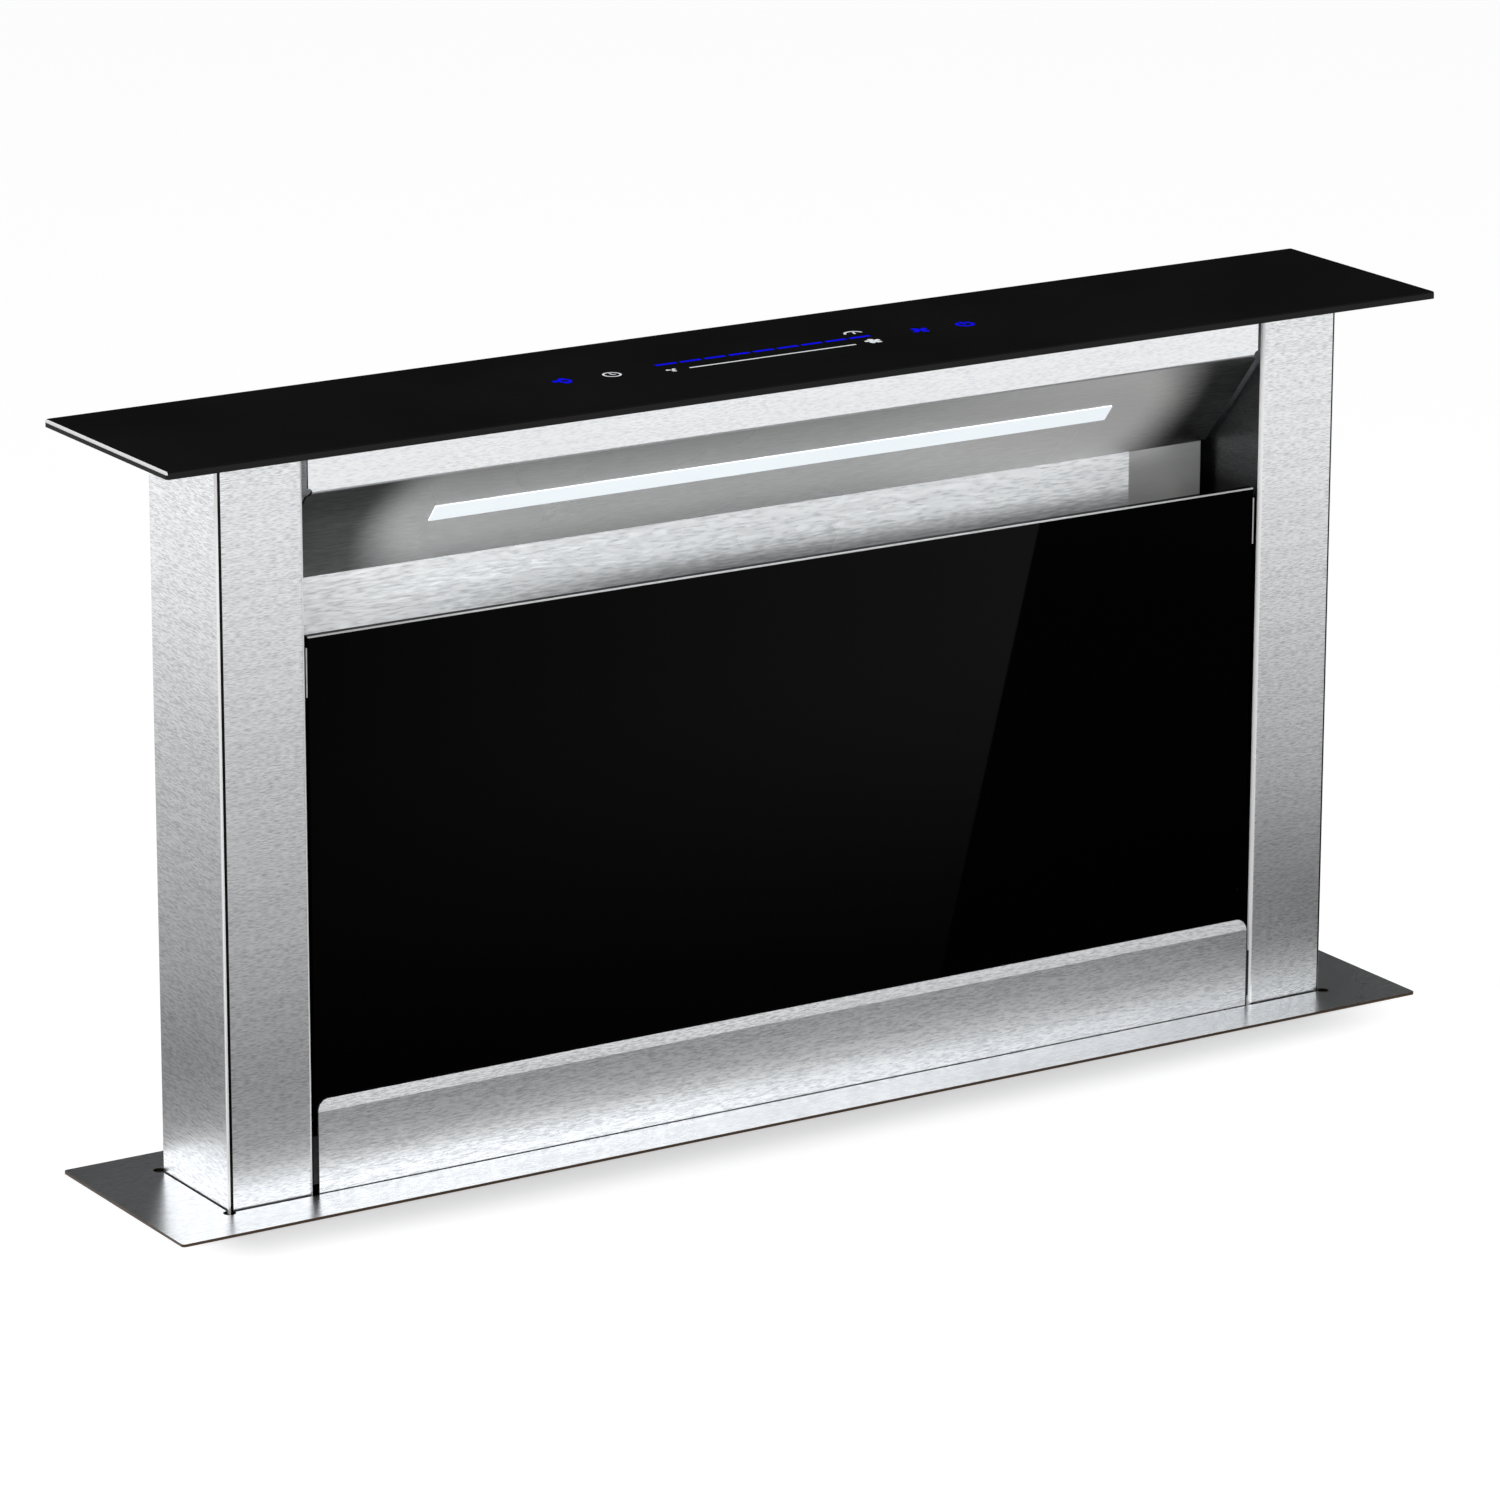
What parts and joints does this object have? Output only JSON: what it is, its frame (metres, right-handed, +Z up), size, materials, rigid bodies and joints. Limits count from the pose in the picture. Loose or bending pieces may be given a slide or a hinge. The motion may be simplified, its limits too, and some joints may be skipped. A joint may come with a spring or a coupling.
{
  "type": "downdraft vent",
  "caption": "Rising worktop extractor: brushed steel tower with black glass cover, lamp, tilting glass door, belt lift, casing and side-outlet blower.",
  "frame": {"origin": "centre of the tower in plan, on the worktop surface that the flange lies on", "axes": "+X to the right seen from the front, +Y to the rear, +Z up; rest pose is tower raised, door closed"},
  "size_m": [0.6, 0.2577, 0.9802],
  "materials": {
    "black_glass": "printed black tempered glass, satin",
    "door_glass": "printed black tempered glass, high gloss",
    "brushed_steel": "fine brushed stainless steel",
    "plain_steel": "zinc-plated steel",
    "galvanised_sheet": "galvanised sheet steel",
    "lamp_lens": "frosted acrylic over white light strip",
    "aluminium": "mill finish aluminium",
    "black_plastic": "moulded black plastic",
    "nylon": "natural nylon",
    "rubber": "black rubber",
    "motor_paint": "dark grey motor enamel"
  },
  "bodies": {
    "housing": {"worktop_flange": "brushed_steel", "wiper_seal": "rubber", "casing_front": "galvanised_sheet", "casing_rear": "galvanised_sheet", "casing_left": "galvanised_sheet", "casing_right": "galvanised_sheet", "casing_floor": "galvanised_sheet", "casing_screws": "plain_steel", "guide_rails": "aluminium", "drive_belts": "rubber", "idler_pins": "plain_steel", "shaft_bearings": "nylon", "gear_motor": "motor_paint", "motor_bracket": "galvanised_sheet", "blower_box": "galvanised_sheet", "blower_cover": "galvanised_sheet", "fan_scroll": "galvanised_sheet", "inlet_ring": "galvanised_sheet", "fan_motor": "motor_paint", "duct_spigot": "galvanised_sheet", "flap_pin": "plain_steel", "control_box": "galvanised_sheet", "control_box_lid": "galvanised_sheet", "cable_gland": "black_plastic", "base_rails": "galvanised_sheet", "foot_pads": "rubber"},
    "tower": {"top_glass": "black_glass", "glass_carrier": "plain_steel", "touch_unit": "black_plastic", "left_column": "brushed_steel", "right_column": "brushed_steel", "intake_hood": "brushed_steel", "led_diffuser": "lamp_lens", "led_module": "aluminium", "back_panel": "brushed_steel", "rear_panel": "brushed_steel", "filter_left": "aluminium", "filter_right": "aluminium", "filter_rail_upper": "plain_steel", "filter_rail_lower": "plain_steel", "lower_fascia": "brushed_steel", "lower_crossbar": "plain_steel", "base_crossbars": "plain_steel", "door_hinge_brackets": "plain_steel", "door_hinge_pins": "plain_steel", "door_stops": "nylon", "slide_shoes": "nylon", "belt_clamps": "nylon"},
    "door": {"front_glass": "door_glass", "door_frame": "plain_steel", "door_catches": "plain_steel"},
    "drive": {"drive_shaft": "plain_steel", "drive_pulleys": "aluminium"},
    "idler_wheel_left": {"idler_left": "nylon"},
    "idler_wheel_right": {"idler_right": "nylon"},
    "fan_wheel": {"impeller": "black_plastic", "fan_shaft": "plain_steel"},
    "front_flap": {"flap_front": "black_plastic"},
    "rear_flap": {"flap_rear": "black_plastic"}
  },
  "joints": [
    {"name": "tower_lift", "type": "slide", "parent": "housing", "child": "tower", "axis": [0, 0, 1], "range_m": [-0.304, 0]},
    {"name": "door_tilt", "type": "hinge", "parent": "tower", "child": "door", "pos_m": [0, -0.0205, 0.0432], "axis": [1, 0, 0], "range_deg": [0, 20]},
    {"name": "shaft_spin", "type": "hinge", "parent": "housing", "child": "drive", "pos_m": [0, 0, -0.602], "axis": [1, 0, 0], "range_deg": [0, 1369]},
    {"name": "idler_left_spin", "type": "hinge", "parent": "housing", "child": "idler_wheel_left", "pos_m": [0, 0, -0.024], "axis": [1, 0, 0], "range_deg": [0, 1369]},
    {"name": "idler_right_spin", "type": "hinge", "parent": "housing", "child": "idler_wheel_right", "pos_m": [0, 0, -0.024], "axis": [1, 0, 0], "range_deg": [0, 1369]},
    {"name": "fan_spin", "type": "hinge", "parent": "housing", "child": "fan_wheel", "pos_m": [-0.05, -0.1, -0.5148], "axis": [0, 1, 0], "continuous": true},
    {"name": "front_flap_swing", "type": "hinge", "parent": "housing", "child": "front_flap", "pos_m": [0.116, -0.121, -0.4468], "axis": [0, 0, 1], "range_deg": [0, 75], "stiffness_Nm_per_rad": 0.01, "springref_deg": -11.46},
    {"name": "rear_flap_swing", "type": "hinge", "parent": "housing", "child": "rear_flap", "pos_m": [0.116, -0.121, -0.4468], "axis": [0, 0, -1], "range_deg": [0, 75], "stiffness_Nm_per_rad": 0.01, "springref_deg": -11.46}
  ],
  "couplings": [
    {"joint": "shaft_spin", "follows": "tower_lift", "rad_per_m": -78.54},
    {"joint": "idler_left_spin", "follows": "tower_lift", "rad_per_m": -78.54},
    {"joint": "idler_right_spin", "follows": "tower_lift", "rad_per_m": -78.54}
  ]
}
